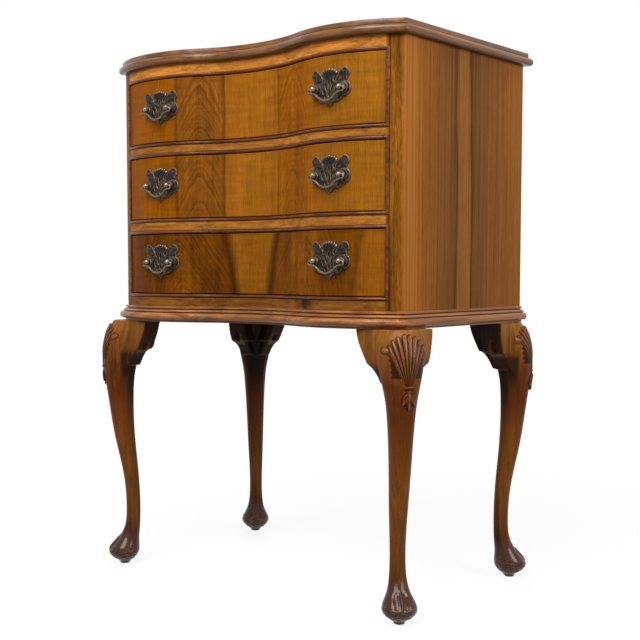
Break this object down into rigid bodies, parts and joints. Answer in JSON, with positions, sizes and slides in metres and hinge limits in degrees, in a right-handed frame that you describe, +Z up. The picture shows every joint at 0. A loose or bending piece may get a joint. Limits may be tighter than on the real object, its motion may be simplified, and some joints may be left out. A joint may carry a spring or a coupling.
{
  "type": "chest of drawers",
  "caption": "Small chest of drawers with a serpentine front, moulded top, bail handles on pierced plates and shell-carved cabriole legs.",
  "frame": {"origin": "on the floor, at the middle of the object's box in plan", "axes": "+Z up, the drawers open towards -Y, +X to the right of someone who faces the back wall"},
  "size_m": [0.5508, 0.3463, 0.743],
  "materials": {
    "walnut_top": "polished",
    "walnut_sides": "polished",
    "walnut_frame": "polished",
    "walnut_veneer": "polished figured veneer",
    "walnut_trim": "polished",
    "walnut_legs": "polished",
    "drawer_lining": "plain waxed",
    "carcase_timber": "sawn",
    "aged_brass": "dark patina, worn bright on the edges",
    "screw_steel": "dull"
  },
  "bodies": {
    "case": {"back_panel": "carcase_timber", "back_rail": "carcase_timber", "base_back_rail": "carcase_timber", "base_moulding_front": "walnut_trim", "base_moulding_left": "walnut_trim", "base_moulding_right": "walnut_trim", "bottom_rail": "walnut_frame", "bracket_screws": "screw_steel", "case_floor": "carcase_timber", "cock_bead_bottom": "walnut_trim", "cock_bead_middle": "walnut_trim", "cock_bead_top": "walnut_trim", "drawer_kickers": "carcase_timber", "drawer_runners": "carcase_timber", "drawer_stops": "carcase_timber", "front_stile_left": "walnut_frame", "front_stile_right": "walnut_frame", "knee_brackets_front_left": "walnut_legs", "knee_brackets_front_right": "walnut_legs", "knee_brackets_rear_left": "walnut_legs", "knee_brackets_rear_right": "walnut_legs", "leg_front_left": "walnut_legs", "leg_front_right": "walnut_legs", "leg_rear_left": "walnut_legs", "leg_rear_right": "walnut_legs", "lower_drawer_rail": "walnut_frame", "side_panel_left": "walnut_sides", "side_panel_right": "walnut_sides", "top_board": "walnut_top", "top_rail": "walnut_frame", "upper_drawer_rail": "walnut_frame"},
    "drawer_bottom": {"drawer_back_bottom": "drawer_lining", "drawer_bottom_bottom": "drawer_lining", "drawer_front_bottom": "walnut_veneer", "drawer_side_left_bottom": "drawer_lining", "drawer_side_right_bottom": "drawer_lining", "handle_backplates_bottom": "aged_brass", "handle_posts_bottom": "aged_brass"},
    "bail_bottom_left": {"bail_bottom_left": "aged_brass"},
    "bail_bottom_right": {"bail_bottom_right": "aged_brass"},
    "drawer_middle": {"drawer_back_middle": "drawer_lining", "drawer_bottom_middle": "drawer_lining", "drawer_front_middle": "walnut_veneer", "drawer_side_left_middle": "drawer_lining", "drawer_side_right_middle": "drawer_lining", "handle_backplates_middle": "aged_brass", "handle_posts_middle": "aged_brass"},
    "bail_middle_left": {"bail_middle_left": "aged_brass"},
    "bail_middle_right": {"bail_middle_right": "aged_brass"},
    "drawer_top": {"drawer_back_top": "drawer_lining", "drawer_bottom_top": "drawer_lining", "drawer_front_top": "walnut_veneer", "drawer_side_left_top": "drawer_lining", "drawer_side_right_top": "drawer_lining", "handle_backplates_top": "aged_brass", "handle_posts_top": "aged_brass"},
    "bail_top_left": {"bail_top_left": "aged_brass"},
    "bail_top_right": {"bail_top_right": "aged_brass"}
  },
  "joints": [
    {"name": "bottom_drawer_slide", "type": "slide", "parent": "case", "child": "drawer_bottom", "axis": [0, -1, 0], "range_m": [0, 0.2]},
    {"name": "bottom_left_bail_swing", "type": "hinge", "parent": "drawer_bottom", "child": "bail_bottom_left", "pos_m": [-0.1502, -0.17076, 0.4505], "axis": [-1, 0, 0], "range_deg": [0, 95]},
    {"name": "bottom_right_bail_swing", "type": "hinge", "parent": "drawer_bottom", "child": "bail_bottom_right", "pos_m": [0.1502, -0.17076, 0.4505], "axis": [-1, 0, 0], "range_deg": [0, 95]},
    {"name": "middle_drawer_slide", "type": "slide", "parent": "case", "child": "drawer_middle", "axis": [0, -1, 0], "range_m": [0, 0.2]},
    {"name": "middle_left_bail_swing", "type": "hinge", "parent": "drawer_middle", "child": "bail_middle_left", "pos_m": [-0.1502, -0.17076, 0.5575], "axis": [-1, 0, 0], "range_deg": [0, 95]},
    {"name": "middle_right_bail_swing", "type": "hinge", "parent": "drawer_middle", "child": "bail_middle_right", "pos_m": [0.1502, -0.17076, 0.5575], "axis": [-1, 0, 0], "range_deg": [0, 95]},
    {"name": "top_drawer_slide", "type": "slide", "parent": "case", "child": "drawer_top", "axis": [0, -1, 0], "range_m": [0, 0.2]},
    {"name": "top_left_bail_swing", "type": "hinge", "parent": "drawer_top", "child": "bail_top_left", "pos_m": [-0.1502, -0.17076, 0.6645], "axis": [-1, 0, 0], "range_deg": [0, 95]},
    {"name": "top_right_bail_swing", "type": "hinge", "parent": "drawer_top", "child": "bail_top_right", "pos_m": [0.1502, -0.17076, 0.6645], "axis": [-1, 0, 0], "range_deg": [0, 95]}
  ]
}
